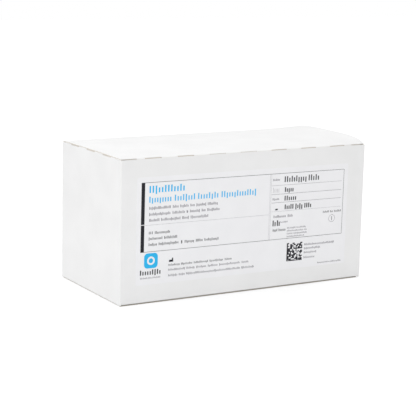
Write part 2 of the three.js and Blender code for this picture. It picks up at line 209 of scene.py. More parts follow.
def finish_shader(tree, inputs, relief=None):
    """Ends a material in a Principled shader. A relief is a pattern, its strength and its depth in metres."""
    if relief:
        bump = add_node(tree, "ShaderNodeBump", dict(zip(("Height", "Strength", "Distance"), relief)))
        inputs["Normal"] = bump
    shader = add_node(tree, "ShaderNodeBsdfPrincipled", inputs)
    add_node(tree, "ShaderNodeOutputMaterial", {"Surface": shader})


def object_of(name, mesh):
    """An object of a mesh, in the scene."""
    made = bpy.data.objects.new(name, mesh)
    bpy.context.scene.collection.objects.link(made)
    return made


def mesh_of(shape, name, materials=()):
    """A mesh of a finished bmesh, with its materials."""
    mesh = bpy.data.meshes.new(name)
    shape.to_mesh(mesh)
    shape.free()
    for material in materials:
        mesh.materials.append(material)
    return mesh


def settle(name, mesh, body, replaced=()):
    """Makes a piece from its mesh, and tells the frame where it belongs."""
    mesh.name = name
    piece = object_of(name, mesh)
    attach(piece, body)
    if replaced:
        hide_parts(*replaced)
    return piece


def run_nodes(tree, carrier_mesh, values):
    """Runs a node tree on a mesh, and returns the plain mesh that it makes."""
    carrier = object_of("carrier", carrier_mesh)
    modifier = carrier.modifiers.new("nodes", "NODES")
    modifier.node_group = tree
    for item in tree.interface.items_tree:
        if item.item_type == "SOCKET" and item.in_out == "INPUT" and item.name in values:
            modifier[item.identifier] = values[item.name]
    bpy.context.view_layer.update()
    evaluated = carrier.evaluated_get(bpy.context.evaluated_depsgraph_get())
    result = bpy.data.meshes.new_from_object(evaluated)
    carrier.modifiers.remove(modifier)
    bpy.data.objects.remove(carrier)
    return result


def geometry_tree(name, inputs):
    """A Geometry Nodes tree with named inputs, and the sockets that give them."""
    tree = bpy.data.node_groups.new(name, "GeometryNodeTree")
    tree.interface.new_socket("Geometry", in_out="INPUT", socket_type="NodeSocketGeometry")
    for label, kind in inputs.items():
        tree.interface.new_socket(label, in_out="INPUT", socket_type=f"NodeSocket{kind}")
    tree.interface.new_socket("Geometry", in_out="OUTPUT", socket_type="NodeSocketGeometry")
    return tree, add_node(tree, "NodeGroupInput").outputs


def placed(tree, instancing, material):
    """Puts instances on points, makes them real and gives them their material."""
    laid = add_node(tree, "GeometryNodeInstanceOnPoints", instancing)
    real = add_node(tree, "GeometryNodeRealizeInstances", {"Geometry": laid})
    return add_node(tree, "GeometryNodeSetMaterial", {"Geometry": real, "Material": material})


# ------------------------------------------------------------------ materials

# The numbers of a colour Mix's inputs, because their names repeat.
FACTOR, FIRST, SECOND = 0, 6, 7


def coated_board():
    """Clay-coated folding board: a smooth, near-white face with a soft sheen and faint clouding."""
    material, tree, place = new_material("clay_coated_board")
    settings = bpy.context.scene.swab_carton_board
    # Clouding of the coating, about 25 mm across.
    cloud = add_node(tree, "ShaderNodeTexNoise", {"Vector": place, "Scale": 1 / 0.025, "Detail": 2.0})
    # Fibres under the coating, about 0.8 mm.
    fibre = add_node(tree, "ShaderNodeTexNoise", {"Vector": place, "Scale": 1 / 0.0008, "Detail": 2.0})
    clouding = add_node(
        tree, "ShaderNodeMapRange", {"Value": cloud, "From Min": 0.35, "From Max": 0.65, "To Max": 0.5}
    )
    speckle = add_node(tree, "ShaderNodeMath", {0: fibre, 1: 0.3, 2: clouding}, operation="MULTIPLY_ADD")
    face = add_node(
        tree,
        "ShaderNodeMix",
        {FACTOR: speckle, FIRST: settings.coating, SECOND: "eeeeee"},
        data_type="RGBA",
    )
    # The coating rubs through along the folds, in specks about 0.5 mm long.
    fold = add_node(tree, "ShaderNodeAttribute", attribute_name="fold").outputs["Fac"]
    rub = add_node(tree, "ShaderNodeTexNoise", {"Vector": place, "Scale": 1 / 0.0005, "Detail": 3.0})
    rubbed = add_node(
        tree, "ShaderNodeMapRange", {"Value": rub, "From Min": 0.52, "From Max": 0.7, "To Max": 0.55}
    )
    worn = add_node(tree, "ShaderNodeMath", {0: rubbed, 1: fold}, operation="MULTIPLY")
    colour = add_node(
        tree, "ShaderNodeMix", {FACTOR: worn, FIRST: face, SECOND: settings.core}, data_type="RGBA"
    )
    sheen = {"Value": cloud, "From Min": 0.3, "From Max": 0.7, "To Min": 0.42, "To Max": 0.5}
    rough = add_node(tree, "ShaderNodeMapRange", sheen)
    finish_shader(tree, {"Base Color": colour, "Roughness": rough, "IOR": 1.5}, (fibre, 0.15, 0.00003))
    return material


def bare_board(name, hex_colour, dark_colour, torn_fibre_and_shade_colour, grain):
    """Uncoated board: dull, warm and flecked with fibres."""
    material, tree, place = new_material(name)
    fleck = add_node(
        tree, "ShaderNodeTexNoise", {"Vector": place, "Scale": 1 / grain, "Detail": 4.0, "Roughness": 0.7}
    )
    cloud = add_node(tree, "ShaderNodeTexNoise", {"Vector": place, "Scale": 1 / (20 * grain), "Detail": 2.0})
    mixed = add_node(tree, "ShaderNodeMath", {0: cloud, 1: 0.3, 2: fleck}, operation="MULTIPLY_ADD")
    shade = add_node(tree, "ShaderNodeMapRange", {"Value": mixed, "From Min": 0.4, "From Max": 0.8})
    flecked = add_node(
        tree, "ShaderNodeMix", {FACTOR: shade, FIRST: dark_colour, SECOND: hex_colour}, data_type="RGBA"
    )
    # Crushed and torn at a fold, the fibre is darker; the darker colour also paints the shade inside the cut
    # folds' notches.
    fold = add_node(tree, "ShaderNodeAttribute", attribute_name="fold").outputs["Fac"]
    colour = add_node(
        tree, "ShaderNodeMix", {FACTOR: fold, FIRST: flecked, SECOND: torn_fibre_and_shade_colour}, data_type="RGBA"
    )
    look = {"Base Color": colour, "Roughness": 0.85, "Specular IOR Level": 0.25}
    finish_shader(tree, look, (fleck, 0.4, 0.00005))
    return material


def label_paper():
    """Coated label paper: a cooler white than the board, a little glossier."""
    material, tree, place = new_material("coated_label_paper")
    paper = bpy.context.scene.swab_carton_label.paper
    cloud = add_node(tree, "ShaderNodeTexNoise", {"Vector": place, "Scale": 1 / 0.015, "Detail": 3.0})
    shade = add_node(tree, "ShaderNodeMapRange", {"Value": cloud, "From Min": 0.3, "From Max": 0.7})
    colour = add_node(
        tree, "ShaderNodeMix", {FACTOR: shade, FIRST: paper, SECOND: "f3f3f5"}, data_type="RGBA"
    )
    fibre = add_node(tree, "ShaderNodeTexNoise", {"Vector": place, "Scale": 1 / 0.0006, "Detail": 2.0})
    finish_shader(tree, {"Base Color": colour, "Roughness": 0.38, "IOR": 1.5}, (fibre, 0.1, 0.00002))
    return material


def printing_ink(name, hex_colour, light_colour):
    """Printed ink: flat colour that thins a little in specks of the paper's grain."""
    material, tree, place = new_material(name)
    speck = add_node(tree, "ShaderNodeTexNoise", {"Vector": place, "Scale": 1 / 0.0004, "Detail": 2.0})
    thin = add_node(
        tree, "ShaderNodeMapRange", {"Value": speck, "From Min": 0.45, "From Max": 0.75, "To Max": 0.6}
    )
    colour = add_node(
        tree, "ShaderNodeMix", {FACTOR: thin, FIRST: hex_colour, SECOND: light_colour}, data_type="RGBA"
    )
    finish_shader(tree, {"Base Color": colour, "Roughness": 0.6, "IOR": 1.5, "Specular IOR Level": 0.25})
    return material


def wrapper_film():
    """Polyethylene film: clear, thin and glossy, with faint waves."""
    material, tree, place = new_material("clear_polyethylene_film")
    wave = add_node(tree, "ShaderNodeTexNoise", {"Vector": place, "Scale": 1 / 0.006, "Detail": 2.0})
    haze = {"Value": wave, "From Min": 0.3, "From Max": 0.7, "To Min": 0.12, "To Max": 0.28}
    tint = add_node(tree, "ShaderNodeMapRange", haze)
    look = {"Base Color": "f4f6f8", "Roughness": 0.12, "IOR": 1.5, "Alpha": tint}
    finish_shader(tree, look, (wave, 0.5, 0.0004))
    return material


def fine_grained(name, hex_colour, other_colour, grain, roughness, lift):
    """A white moulded or fibrous surface with a fine grain."""
    material, tree, place = new_material(name)
    noise = add_node(tree, "ShaderNodeTexNoise", {"Vector": place, "Scale": 1 / grain, "Detail": 3.0})
    colour = add_node(
        tree, "ShaderNodeMix", {FACTOR: noise, FIRST: hex_colour, SECOND: other_colour}, data_type="RGBA"
    )
    finish_shader(tree, {"Base Color": colour, "Roughness": roughness}, (noise, 0.5, lift))
    return material


# ------------------------------------------------------------------ board laid in grids


class Sheet:
    """Board laid as grids. Each point has an outer place, an inner place and how worn its fold is, which also
    sets the painted shade on its cut edges.
    """

    def __init__(self, thickness):
        self.thickness = thickness
        self.mesh = bmesh.new()
        self.inner = self.mesh.verts.layers.float_vector.new("inner place")
        self.fold = self.mesh.verts.layers.float.new("fold")

    def flat(self, outer, normal):
        """A point of flat board."""
        return outer, outer - normal * self.thickness, 0.0

    def folded(self, centre, first, second, angles, fold):
        """A point of board folded round a centre, at outer and inner angles from one direction to another."""
        outer, inner = (first * math.cos(angle) + second * math.sin(angle) for angle in angles)
        return centre + outer * FOLD_RADIUS, centre + inner * (FOLD_RADIUS - self.thickness), fold

    def lay(self, rows, columns, place, is_cut=lambda i, j: False):
        """Adds a grid of board, apart from the cells that are cut away."""
        grid = []
        for row in rows:
            line = []
            for column in columns:
                outer, inner, fold = place(row, column)
                point = self.mesh.verts.new(outer)
                point[self.inner] = inner
                point[self.fold] = fold
                line.append(point)
            grid.append(line)
        for i in range(len(rows) - 1):
            for j in range(len(columns) - 1):
                if not is_cut(i, j):
                    self.mesh.faces.new([grid[i][j], grid[i][j + 1], grid[i + 1][j + 1], grid[i + 1][j]])

    def thickened(self, materials):
        """Gives the sheet its inner face and its raw edges, and returns the closed mesh."""
        sheet = self.mesh
        bmesh.ops.delete(sheet, geom=[v for v in sheet.verts if not v.link_faces], context="VERTS")
        bmesh.ops.remove_doubles(sheet, verts=sheet.verts, dist=MERGE_DISTANCE)
        sheet.normal_update()
        faces = list(sheet.faces)
        for face in faces:
            outward = sum((v.co - v[self.inner] for v in face.verts), Vector())
            if face.normal.dot(outward) < 0:
                face.normal_flip()
            face.smooth = True
        rims = [edge for edge in sheet.edges if edge.is_boundary]
        twins = {}
        for point in list(sheet.verts):
            twins[point] = sheet.verts.new(point[self.inner])
            twins[point][self.fold] = point[self.fold]
        for face in faces:
            back = sheet.faces.new([twins[v] for v in reversed(face.verts)])
            back.material_index = INNER_FACE
            back.smooth = True
        for edge in rims:
            loop = edge.link_loops[0]
            start, end = loop.vert, loop.link_loop_next.vert
            rim = sheet.faces.new([end, start, twins[start], twins[end]])
            # The bottom flaps' edges near the floor take the grey-brown back's colour, as painted shade of
            # the floor's contact shadow.
            is_contact_shaded = max(v.co.z for v in rim.verts) < CONTACT_SHADE_BELOW
            rim.material_index = INNER_FACE if is_contact_shaded else RAW_EDGE
            for side in rim.edges:
                side.smooth = False
        sheet.verts.layers.float_vector.remove(sheet.verts.layers.float_vector["inner place"])
        return mesh_of(sheet, "board", materials)


MERGE_DISTANCE = 0.002 * MM
# Raw edges lower than this are painted in the darker back colour, as painted contact shade.
CONTACT_SHADE_BELOW = 1.6 * MM
INNER_FACE, RAW_EDGE = 1, 2


def spread(low, high, step):
    """Even steps from low to high."""
    count = max(round((high - low) / step), 1)
    return [low + (high - low) * i / count for i in range(count + 1)]


def merged(*lists, close=0.05 * MM):
    """One rising list without near repeats. The earlier lists win."""
    kept = []
    for values in lists:
        for value in values:
            if all(abs(value - other) > close for other in kept):
                kept.append(value)
    return sorted(kept)


# Rows round a fold, as parts of its turn. A cut opens between the two cut rows, and goes through
# the board as a slot of this half angle. It reaches its full width this far from its ends.
FOLD_ROWS = (0, 0.1, 0.2, 0.35, 0.5, 0.65, 0.8, 0.9, 1)
CUT_ROWS = (2, 6)
SLOT_ANGLE = math.radians(1)
CUT_RAMP = 0.5 * MM


def cut_spans(fold_length, end_kept, settings):
    """Where each cut along a fold starts and ends."""
    length, pitch = settings.cut_length, settings.cut_pitch
    count = max(math.floor((fold_length - 2 * end_kept + pitch - length) / pitch), 1)
    middles = [(i - (count - 1) / 2) * pitch for i in range(count)]
    return [(middle - length / 2, middle + length / 2) for middle in middles]


def span_of(value, spans):
    """Which span a value lies strictly within, or None."""
    for i, (start, end) in enumerate(spans):
        if start + 0.01 * MM < value < end - 0.01 * MM:
            return i
    return None


def cut_columns(spans):
    """Columns at each cut's ends, and just inside them."""
    ends = [end for span in spans for end in span]
    inside = [start + CUT_RAMP for start, _ in spans] + [end - CUT_RAMP for _, end in spans]
    return ends, inside


def cut_cells(columns, spans):
    """The test for which cells of a fold are cut away."""

    def is_cut(i, j):
        middle = (columns[j] + columns[j + 1]) / 2
        return CUT_ROWS[0] <= i < CUT_ROWS[1] and span_of(middle, spans) is not None

    return is_cut


def fold_angles(row, turn, cut_middle, cut_spread, opening=None, is_slit=False):
    """Outer and inner angles of a fold's row. Opening is set within a cut. A slit is open right through."""
    part = FOLD_ROWS[row]
    if row not in CUT_ROWS:
        first, second = min(2 * part, 1), max(2 * part - 1, 0)
        angle = first * cut_middle + second * (turn - cut_middle)
        return angle, angle
    side = -1 if row == CUT_ROWS[0] else 1
    outer = cut_middle + side * cut_spread * (1 if opening is None else opening)
    if opening is None or is_slit:
        return outer, outer
    return outer, cut_middle + side * SLOT_ANGLE


# ------------------------------------------------------------------ the carton's board


class Wall:
    """One wall of the carton, with its own flat directions."""

    def __init__(self, along, outward, distance):
        self.along = Vector(along)
        self.outward = Vector(outward)
        self.distance = distance

    def at(self, u, out, z):
        """The place u along the wall, out from the carton's middle and z up."""
        return self.along * u + self.outward * out + UP * z


def bow_shape(part):
    """How far board bows between two held edges, from 1 in the middle to 0 at the edges, -1 and 1."""
    return max(1 - min(abs(part), 1) ** 4, 0) ** 0.7


def pulled(column, limit_low, limit_high, low, high):
    """A column's place where the board is narrower than at its fold."""
    if column < 0:
        return column * low / limit_low
    return column * high / limit_high


# How high the lowest line of each wall's bottom fold is above the floor.
BACK_FOOT, END_FOOT, FRONT_FOOT = 0, 0.65 * MM, 1.1 * MM
WALL_STEP, DUST_STEP, LID_STEP = 12 * MM, 6 * MM, 4 * MM


def rim_height(settings):
    """The top of the walls that the lid lies on."""
    return HEIGHT - settings.thickness - settings.rest_gap


def wall_rows(settings, foot):
    """Heights of a wall's rows above its bottom fold. All walls share those that they have in common."""
    feet = [part + FOLD_RADIUS for part in (BACK_FOOT, END_FOOT, FRONT_FOOT)]
    shared = [*feet, *spread(feet[-1], rim_height(settings) - FOLD_RADIUS, WALL_STEP)[1:]]
    return [z for z in shared if z > foot + FOLD_RADIUS - 0.01 * MM]


def lay_wall(sheet, wall, columns, rows):
    """A wall between its folds."""
    sheet.lay(rows, columns, lambda z, u: sheet.flat(wall.at(u, wall.distance, z), wall.outward))


def lay_bottom_flap(sheet, wall, columns, foot, layer, reach, root, taper):
    """A bottom flap under its wall: the fold, then the flap, which comes to lie in its layer."""
    low, high = columns[0], columns[-1]
    height = layer * sheet.thickness
    centre = wall.distance - FOLD_RADIUS

    def on_fold(angle, u):
        middle = wall.at(u, centre, foot + FOLD_RADIUS)
        return sheet.folded(middle, wall.outward, UP, (angle, angle), math.sin(-2 * angle))

    def on_flap(row, u):
        out, z, narrowing = row
        return sheet.flat(wall.at(pulled(u, low, high, low + narrowing, high - narrowing), out, z), -UP)

    sheet.lay([-math.pi / 2 * part for part in (0, 0.17, 0.33, 0.5, 0.67, 0.83, 1)], columns, on_fold)
    # Past its fold the flap sinks on to its layer.
    settled = centre - 1.45 * MM
    outline = [
        (centre, foot, 0),
        (settled, height + 0.3 * max(foot - height, 0), root),
        (settled - 2 * MM, height, root + 0.1 * taper),
        (0.6 * settled + 0.4 * reach, height, root + 0.5 * taper),
        (reach, height, root + taper),
    ]
    sheet.lay(outline, columns, on_flap)


def lay_dust_flap(sheet, wall, columns, spans, rise, settings, mirror):
    """A top dust flap: the cut fold, then the flap, which narrows towards its free edge."""
    rim = rim_height(settings)
    turn = math.pi / 2 - rise
    setback = FOLD_RADIUS * math.tan(turn / 2)
    centre_out, centre_z = wall.distance - FOLD_RADIUS, rim - setback
    foot = rim - FOLD_RADIUS
    low, high = columns[0], columns[-1]

    def bow(u):
        """The fold bows up in the middle, as the lid's end does. Its corners stay under the lid's fold."""
        return settings.end_bow * bow_shape(u / (HALF_DEPTH - 2 * FOLD_RADIUS))

    def on_wall(part, u):
        z = foot + part * (centre_z + bow(u) - foot)
        return sheet.flat(wall.at(u, wall.distance, z), wall.outward)

    def on_fold(row, u):
        opening = None if span_of(u, spans) is None else 1
        angles = fold_angles(row, turn, turn / 2, settings.cut_spread, opening)
        middle = wall.at(u, centre_out, centre_z + bow(u))
        # The fold's wear also darkens the cuts' raw edges, as torn fibre and painted shade.
        return sheet.folded(middle, wall.outward, UP, angles, 0.5 * math.sin(math.pi * FOLD_ROWS[row]))

    sheet.lay([0, 1], columns, on_wall)
    sheet.lay(range(len(FOLD_ROWS)), columns, on_fold, cut_cells(columns, spans))

    # The front side clears the lid's tuck, and the back side the lid's hinge.
    front = HALF_DEPTH - sheet.thickness - 2.3 * MM
    back = HALF_DEPTH - 2 * sheet.thickness - 1.3 * MM
    tip = HALF_DEPTH - 14.35 * MM
    root = HALF_DEPTH - settings.notch
    shoulder = 1.4 * MM
    # From the fold to the free edge: how far in, then the reach to the front and to the back.
    outline = [
        (setback, root, root),
        (shoulder, root, root),
        (3 * MM, front, back),
        (8 * MM, front - 0.4 * MM, back - 0.4 * MM),
        (29 * MM, front - 2 * MM, back - 2 * MM),
        (38 * MM, (front - 2 * MM + tip) / 2, (back - 2 * MM + tip) / 2),
        (46.6 * MM, tip + 0.7 * MM, tip + 0.7 * MM),
        (47.6 * MM, tip - 0.2 * MM, tip - 0.2 * MM),
        (settings.dust_flap, tip - 1.6 * MM, tip - 1.6 * MM),
    ]
    slope = wall.outward * math.sin(rise) + UP * math.cos(rise)

    def on_flap(row, u):
        inward, front_reach, back_reach = row
        reach_low, reach_high = (back_reach, front_reach) if mirror else (front_reach, back_reach)
        if inward <= shoulder:
            reach_low, reach_high = -low, high
        levelled = bow(u) * (1 - (inward - setback) / (settings.dust_flap - setback))
        along = pulled(u, low, high, -reach_low, reach_high)
        out = wall.distance - inward * math.cos(rise)
        return sheet.flat(wall.at(along, out, rim + inward * math.sin(rise) + levelled), slope)

    sheet.lay(outline, columns, on_flap)


def lay_corner(sheet, before, after, end_before, start_after, rows, inset=0.0):
    """A vertical fold, with the narrow strip of wall to each side of it."""
    turn_start = before.along * (after.distance - inset - FOLD_RADIUS)
    centre = turn_start + before.outward * (before.distance - FOLD_RADIUS)
    steps = 6

    def on_corner(z, column):
        if column == "before":
            return sheet.flat(before.at(end_before, before.distance, z), before.outward)
        if column == "after":
            return sheet.flat(after.at(start_after, after.distance - inset, z), after.outward)
        angle = math.pi / 2 * column / steps
        worn = 0.6 * math.sin(2 * angle)
        return sheet.folded(centre + UP * z, before.outward, after.outward, (angle, angle), worn)

    sheet.lay(rows, ["before", *range(steps + 1), "after"], on_corner)


def lay_glue_flap(sheet, back, start, rows):
    """The right wall's glue flap, inside the back wall. It narrows away from its fold."""
    low, high = rows[0], rows[-1]
    middle = (low + high) / 2
    # How far past its fold, and how much shorter it is there at each end.
    outline = [(0, 0), (1.5 * MM, 0), (2.5 * MM, 3 * MM), (17 * MM, 8 * MM)]

    def on_flap(z, column):
        inward, shorter = column
        scale = 1 - shorter / (high - middle)
        place = back.at(start + inward, back.distance - sheet.thickness, middle + (z - middle) * scale)
        return sheet.flat(place, back.outward)

    sheet.lay(rows, outline, on_flap)


def lay_hinge_fold(sheet, columns, start, end, steps):
    """A part of the fold that the lid hinges on. The columns run along X."""

    def on_fold(angle, x):
        centre = Vector((x, HALF_DEPTH - FOLD_RADIUS, FOLD_HEIGHT))
        return sheet.folded(centre, -FRONTWARDS, UP, (angle, angle), math.sin(2 * angle))

    sheet.lay([start + (end - start) * i / steps for i in range(steps + 1)], columns, on_fold)


class SWAB_CARTON_OT_board(bpy.types.Operator):
    """Fold the carton's four walls, its dust flaps, its glued bottom and its glue flap"""

    bl_idname = "swab_carton.board"
    bl_label = "Carton board"

    def execute(self, context):
        settings = context.scene.swab_carton_board
        thickness = settings.thickness
        front = Wall((1, 0, 0), (0, -1, 0), HALF_DEPTH)
        right = Wall((0, 1, 0), (1, 0, 0), HALF_LENGTH)
        back = Wall((-1, 0, 0), (0, 1, 0), HALF_DEPTH)
        left = Wall((0, -1, 0), (-1, 0, 0), HALF_LENGTH)
        long_end = HALF_LENGTH - settings.notch
        short_end = HALF_DEPTH - settings.notch
        seam_end = short_end - thickness
        seam = HALF_LENGTH - 1.5 * MM
        spans = cut_spans(2 * HALF_DEPTH, 11 * MM, settings)
        ends, inside = cut_columns(spans)

        sheet = Sheet(thickness)
        # The front wall ends in a raw edge, and its bottom flap is the floor's middle layer.
        columns = spread(-long_end, long_end, WALL_STEP)
        lay_wall(sheet, front, columns, [*wall_rows(settings, FRONT_FOOT), rim_height(settings)])
        lay_bottom_flap(sheet, front, columns, FRONT_FOOT, 1, 12 * MM - HALF_DEPTH, 1.3 * MM, 1.2 * MM)
        # The back wall starts at its raw seam edge, and its bottom flap is the outer layer.
        columns = merged([-seam, long_end], spread(-seam, long_end, WALL_STEP))
        lay_wall(sheet, back, columns, [*wall_rows(settings, BACK_FOOT), FOLD_HEIGHT])
        lay_bottom_flap(sheet, back, columns, BACK_FOOT, 0, 1.6 * MM - HALF_DEPTH, 0, 0.2 * MM)
        lay_hinge_fold(sheet, [-u for u in columns], 0, HINGE_ANGLE, 3)
        # The end walls carry the dust flaps, and their bottom flaps are the inner layer.
        for wall, low, high, rise in (
            (left, -short_end, short_end, settings.rise_left),
            (right, -short_end, seam_end, settings.rise_right),
        ):
            columns = merged([low, high], ends, inside, spread(low, high, DUST_STEP), close=0.3 * MM)
            lay_wall(sheet, wall, columns, wall_rows(settings, END_FOOT))
            lay_bottom_flap(sheet, wall, columns, END_FOOT, 2, HALF_LENGTH - 44 * MM, 3 * MM, 2 * MM)
            lay_dust_flap(sheet, wall, columns, spans, rise, settings, wall is left)

        front_corner = [*wall_rows(settings, BACK_FOOT), rim_height(settings)]
        back_corner = [*wall_rows(settings, BACK_FOOT), FOLD_HEIGHT]
        lay_corner(sheet, left, front, short_end, -long_end, front_corner)
        lay_corner(sheet, front, right, long_end, -short_end, front_corner)
        lay_corner(sheet, back, left, long_end, -short_end, back_corner)
        glue_start = -(HALF_LENGTH - FOLD_RADIUS) + 0.3 * MM
        lay_corner(sheet, right, back, seam_end, glue_start, back_corner, inset=thickness)
        lay_glue_flap(sheet, back, glue_start, back_corner)
        settle("carton_board", sheet.thickened(board_materials()), BODY, ["carton_body"])
        return {"FINISHED"}


def board_materials():
    """Coated face, uncoated face and raw edge, made once for both pieces of board."""
    settings = bpy.context.scene.swab_carton_board
    names = ("clay_coated_board", "uncoated_board_back", "die_cut_board_edge")
    if names[0] not in bpy.data.materials:
        coated_board()
        # Grey-brown recycled fibre, flecked about every millimetre.
        bare_board(names[INNER_FACE], settings.back, "bdb5a6", "b8b0a2", 1.2 * MM)
        # A die-cut edge shows the warm fibre core, in grains of about 0.3 mm, darker at the folds' cuts as
        # torn fibre and painted shade.
        bare_board(names[RAW_EDGE], settings.core, "e6e0d6", "c7bfb7", 0.3 * MM)
    return [bpy.data.materials[name] for name in names]


# ------------------------------------------------------------------ the lid

# The lid's half of the hinge fold starts this far past the back wall's half.
HINGE_PARTING = math.radians(1.5)
CROWN_LEFT, CROWN_MIDDLE, CROWN_RIGHT = 0.5 * MM, 2 * MM, 4.5 * MM
CROWN_LEFT_RUN, CROWN_RIGHT_RUN = 40 * MM, 60 * MM
BOW_STEPS = 26
SLIT_LENGTH = 11.6 * MM
TUCK_HALF_LENGTH = HALF_LENGTH - 3.6 * MM
TUCK_CORNER = 10 * MM
# How far each slit has sprung open, left and right, and each cut along the front fold, from left to right.
SLIT_OPENINGS = (0.75, 0.8)
CUT_OPENINGS = (1, 1, 0.3, 0.3, 0.75, 0.9, 0.9)


def crown_at(x):
    """Height of the bow along the middle of the lid."""
    from_left = max(1 - (x + LID_HALF_LENGTH) / CROWN_LEFT_RUN, 0) ** 2
    from_right = max(1 - (LID_HALF_LENGTH - x) / CROWN_RIGHT_RUN, 0) ** 2
    left, right = CROWN_LEFT - CROWN_MIDDLE, CROWN_RIGHT - CROWN_MIDDLE
    return CROWN_MIDDLE + left * from_left + right * from_right


def tucked(x):
    """The tuck is narrower than the lid, past the ends of its lock slits."""
    slit_start = LID_HALF_LENGTH - SLIT_LENGTH
    beyond = abs(x) - slit_start
    if beyond <= 0:
        return x
    return math.copysign(slit_start + beyond * (TUCK_HALF_LENGTH - slit_start) / SLIT_LENGTH, x)


class SWAB_CARTON_OT_lid(bpy.types.Operator):
    """Fold the bowed lid with its hinge fold, its cut front fold and its tuck flap"""

    bl_idname = "swab_carton.lid"
    bl_label = "Lid board"

    def execute(self, context):
        settings = context.scene.swab_carton_board
        sheet = Sheet(settings.thickness)
        end, slit_start = LID_HALF_LENGTH, LID_HALF_LENGTH - SLIT_LENGTH
        cuts = cut_spans(2 * HALF_LENGTH, SLIT_LENGTH + settings.cut_length / 2, settings)
        slits = [(-end - MM, -slit_start), (slit_start, end + MM)]
        fixed = [-end, end, -slit_start, slit_start, -slit_start - CUT_RAMP, slit_start + CUT_RAMP]
        columns = merged(fixed, *cut_columns(cuts), spread(-end, end, LID_STEP), close=0.4 * MM)
        lay_hinge_fold(sheet, columns, HINGE_ANGLE + HINGE_PARTING, math.pi / 2, 4)

        back_centre, front_centre = HALF_DEPTH - FOLD_RADIUS, lid_low.y + FOLD_RADIUS
        middle, half = (back_centre + front_centre) / 2, (back_centre - front_centre) / 2

        def on_panel(step, x):
            y = middle + half * math.cos(math.pi * step / BOW_STEPS)
            outer = Vector((x, y, HEIGHT + crown_at(x) * bow_shape((y - middle) / half)))
            # The lid's underside all but touches the rims that it rests on.
            return outer, outer - UP * (settings.thickness + 0.4 * settings.rest_gap), 0.0

        sheet.lay(range(BOW_STEPS + 1), columns, on_panel)

        # The cuts are in the front fold's first right angle, and the tuck's lean follows them.
        turn, cut_middle = math.pi / 2 + settings.tuck_lean, math.radians(45)
        spans, openings = slits + cuts, SLIT_OPENINGS + CUT_OPENINGS

        def on_front_fold(row, x):
            index = span_of(x, spans)
            opening = None if index is None else openings[index]
            # A lock slit is clean, and the dust flap's corner reaches into it.
            is_slit = index is not None and index < len(slits)
            angles = fold_angles(row, turn, cut_middle, settings.cut_spread, opening, is_slit)
            # The fold's wear also darkens the cuts' raw edges, as torn fibre and painted shade.
            worn = 0.0 if is_slit and row in CUT_ROWS else math.sin(math.pi * FOLD_ROWS[row])
            centre = Vector((tucked(x) if row >= CUT_ROWS[1] else x, front_centre, FOLD_HEIGHT))
            return sheet.folded(centre, UP, FRONTWARDS, angles, worn)

        sheet.lay(range(len(FOLD_ROWS)), columns, on_front_fold, cut_cells(columns, spans))

        normal = Vector((0, -math.sin(turn), math.cos(turn)))
        down = Vector((0, math.sin(settings.tuck_lean), -math.cos(settings.tuck_lean)))
        straight = settings.tuck - TUCK_CORNER
        curve = [straight + TUCK_CORNER * math.sin(math.radians(a)) for a in (0, 15, 30, 45, 60, 75, 86)]

        def on_tuck(depth, x):
            past = max(depth - straight, 0)
            width = TUCK_HALF_LENGTH - TUCK_CORNER + math.sqrt(max(TUCK_CORNER**2 - past**2, 0))
            fold = Vector((tucked(x) * width / TUCK_HALF_LENGTH, front_centre, FOLD_HEIGHT))
            return sheet.flat(fold + normal * FOLD_RADIUS + down * depth, normal)

        sheet.lay([0, *curve], columns, on_tuck)
        settle("lid_board", sheet.thickened(board_materials()), LID, ["lid"])
        return {"FINISHED"}


# ------------------------------------------------------------------ the label


def prism(mesh, outline, depth, material_index, hole=None):
    """Adds a closed slab of ink from an outline of (x, z) points, with a hole of as many points."""
    front, back = depth

    def ring(points, y):
        return [mesh.verts.new((x, y, z)) for x, z in points]

    count = len(outline)
    outer_front, outer_back = ring(outline, front), ring(outline, back)
    faces = [[outer_back[i], outer_back[i - 1], outer_front[i - 1], outer_front[i]] for i in range(count)]
    if hole:
        hole_front, hole_back = ring(hole, front), ring(hole, back)
        for i in range(count):
            faces.append([hole_back[i - 1], hole_back[i], hole_front[i], hole_front[i - 1]])
            faces.append([outer_front[i - 1], hole_front[i - 1], hole_front[i], outer_front[i]])
            faces.append([outer_back[i], hole_back[i], hole_back[i - 1], outer_back[i - 1]])
    else:
        faces += [outer_front, outer_back[::-1]]
    for corners in faces:
        mesh.faces.new(corners).material_index = material_index


def block(x0, z0, x1, z1):
    """The outline of an upright rectangle."""
    return [(x0, z0), (x1, z0), (x1, z1), (x0, z1)]


def circle(x, z, radius, count=24):
    """The outline of a circle."""
    turns = [2 * math.pi * i / count for i in range(count)]
    return [(x + radius * math.cos(turn), z + radius * math.sin(turn)) for turn in turns]


def rounded_square(x, z, half, radius, steps=5):
    """The outline of a square with round corners."""
    points = []
    for quarter, (side, rise) in enumerate(((1, 1), (-1, 1), (-1, -1), (1, -1))):
        for i in range(steps + 1):
            turn = math.pi / 2 * (quarter + i / steps)
            corner_x, corner_z = x + side * (half - radius), z + rise * (half - radius)
            points.append((corner_x + radius * math.cos(turn), corner_z + radius * math.sin(turn)))
    return points


# The print, in millimetres from the front wall's left and top edges. Bare is the paper itself.
BLACK, BLUE, GREY, BARE = 0, 1, 2, 3
